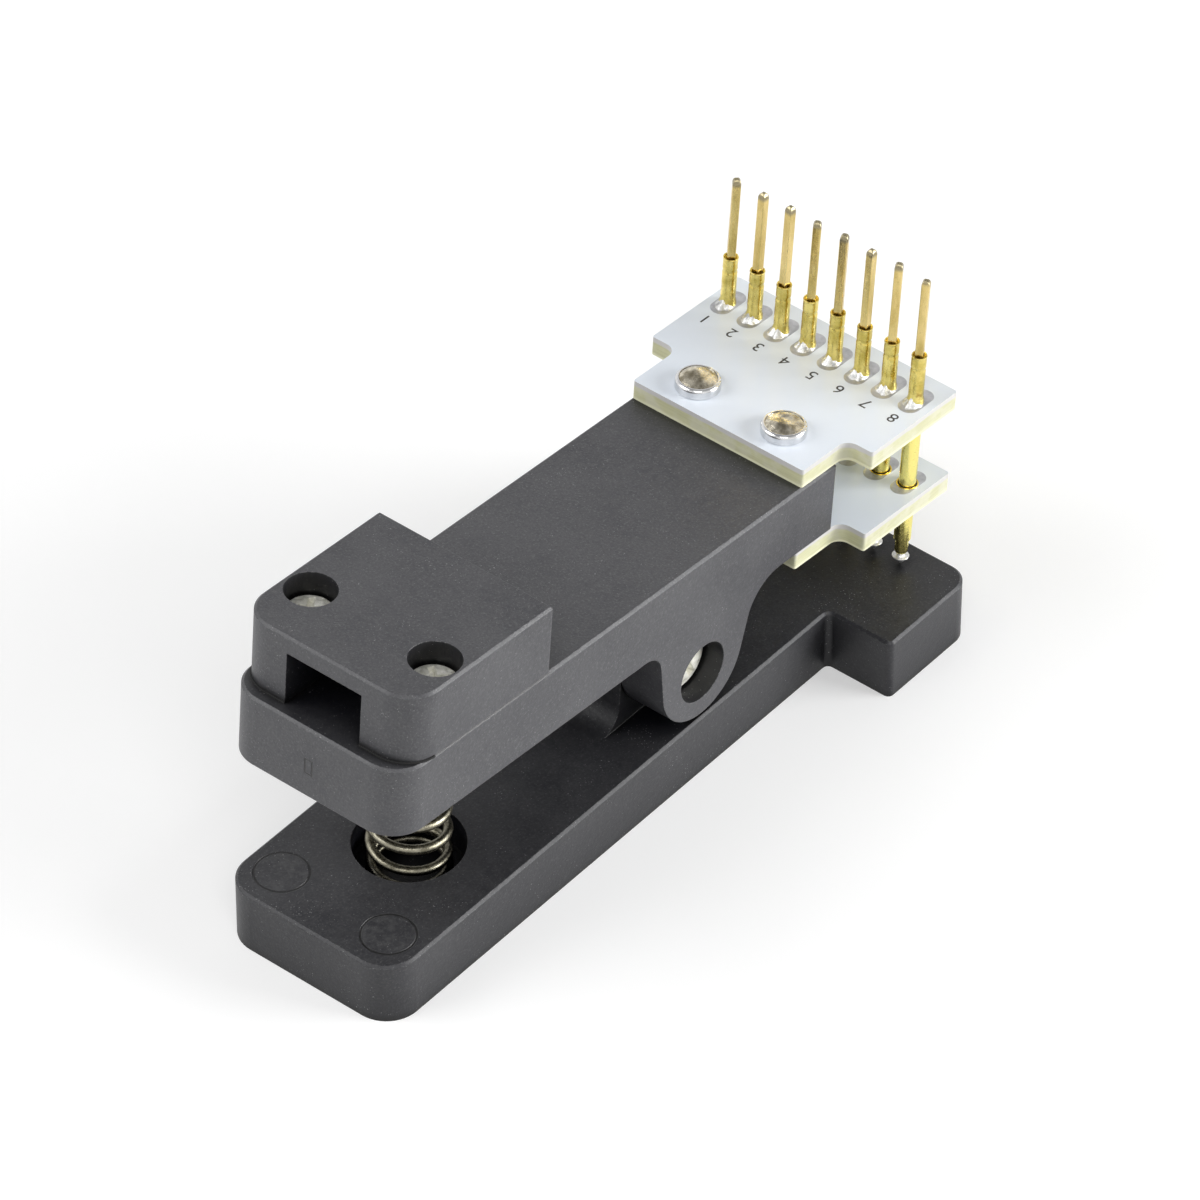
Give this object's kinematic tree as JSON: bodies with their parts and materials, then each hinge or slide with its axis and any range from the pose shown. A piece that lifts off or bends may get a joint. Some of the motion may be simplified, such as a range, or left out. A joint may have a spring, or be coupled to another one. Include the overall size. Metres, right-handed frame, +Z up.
{
  "type": "pogo pin programming clip",
  "caption": "Spring clip of black plastic that presses a row of sprung contact pins on a circuit board's pads, with a pivoted arm, pin boards and a cable cover.",
  "frame": {"origin": "centre of the underside of the base, on the surface that the clip stands on", "axes": "+X from the handle to the jaw, +Y across to the far side, +Z up"},
  "size_m": [0.0626, 0.028, 0.032],
  "materials": {
    "black_plastic": "fine moulded texture",
    "white_board": "white lacquer over glass fibre board",
    "gold_plate": "gold plating",
    "silver_plate": "bright plating",
    "nickel_screw": "nickel plating",
    "spring_steel": "drawn steel wire"
  },
  "bodies": {
    "base": {"base_plate": "black_plastic", "main_spring": "spring_steel"},
    "arm": {"lever_arm": "black_plastic", "cable_cover": "black_plastic", "cover_screws": "nickel_screw", "pivot_screw": "nickel_screw", "pivot_nut": "nickel_screw", "top_board": "white_board", "lower_board": "white_board", "top_board_screws": "nickel_screw", "lower_board_screws": "nickel_screw", "receptacles": "gold_plate", "wire_posts": "gold_plate", "probe_barrels": "gold_plate", "probe_springs": "spring_steel"},
    "plunger_1": {"plunger_1": "silver_plate"},
    "plunger_2": {"plunger_2": "silver_plate"},
    "plunger_3": {"plunger_3": "silver_plate"},
    "plunger_4": {"plunger_4": "silver_plate"},
    "plunger_5": {"plunger_5": "silver_plate"},
    "plunger_6": {"plunger_6": "silver_plate"},
    "plunger_7": {"plunger_7": "silver_plate"},
    "plunger_8": {"plunger_8": "silver_plate"}
  },
  "joints": [
    {"name": "arm_hinge", "type": "hinge", "parent": "base", "child": "arm", "pos_m": [0.0052, 0, 0.0099], "axis": [0, -1, 0], "range_deg": [0, 19.5], "stiffness_Nm_per_rad": 0.575, "springref_deg": -8.59, "deforming": ["main_spring"]},
    {"name": "plunger_1_slide", "type": "slide", "parent": "arm", "child": "plunger_1", "axis": [-0.0834, 0, -0.9965], "range_m": [0, 0.00265]},
    {"name": "plunger_2_slide", "type": "slide", "parent": "arm", "child": "plunger_2", "axis": [-0.0834, 0, -0.9965], "range_m": [0, 0.00265]},
    {"name": "plunger_3_slide", "type": "slide", "parent": "arm", "child": "plunger_3", "axis": [-0.0834, 0, -0.9965], "range_m": [0, 0.00265]},
    {"name": "plunger_4_slide", "type": "slide", "parent": "arm", "child": "plunger_4", "axis": [-0.0834, 0, -0.9965], "range_m": [0, 0.00265]},
    {"name": "plunger_5_slide", "type": "slide", "parent": "arm", "child": "plunger_5", "axis": [-0.0834, 0, -0.9965], "range_m": [0, 0.00265]},
    {"name": "plunger_6_slide", "type": "slide", "parent": "arm", "child": "plunger_6", "axis": [-0.0834, 0, -0.9965], "range_m": [0, 0.00265]},
    {"name": "plunger_7_slide", "type": "slide", "parent": "arm", "child": "plunger_7", "axis": [-0.0834, 0, -0.9965], "range_m": [0, 0.00265]},
    {"name": "plunger_8_slide", "type": "slide", "parent": "arm", "child": "plunger_8", "axis": [-0.0834, 0, -0.9965], "range_m": [0, 0.00265]}
  ],
  "couplings": [
    {"joint": "plunger_1_slide", "follows": "arm_hinge", "m_per_rad": 0.00778},
    {"joint": "plunger_2_slide", "follows": "arm_hinge", "m_per_rad": 0.00778},
    {"joint": "plunger_3_slide", "follows": "arm_hinge", "m_per_rad": 0.00778},
    {"joint": "plunger_4_slide", "follows": "arm_hinge", "m_per_rad": 0.00778},
    {"joint": "plunger_5_slide", "follows": "arm_hinge", "m_per_rad": 0.00778},
    {"joint": "plunger_6_slide", "follows": "arm_hinge", "m_per_rad": 0.00778},
    {"joint": "plunger_7_slide", "follows": "arm_hinge", "m_per_rad": 0.00778},
    {"joint": "plunger_8_slide", "follows": "arm_hinge", "m_per_rad": 0.00778}
  ]
}
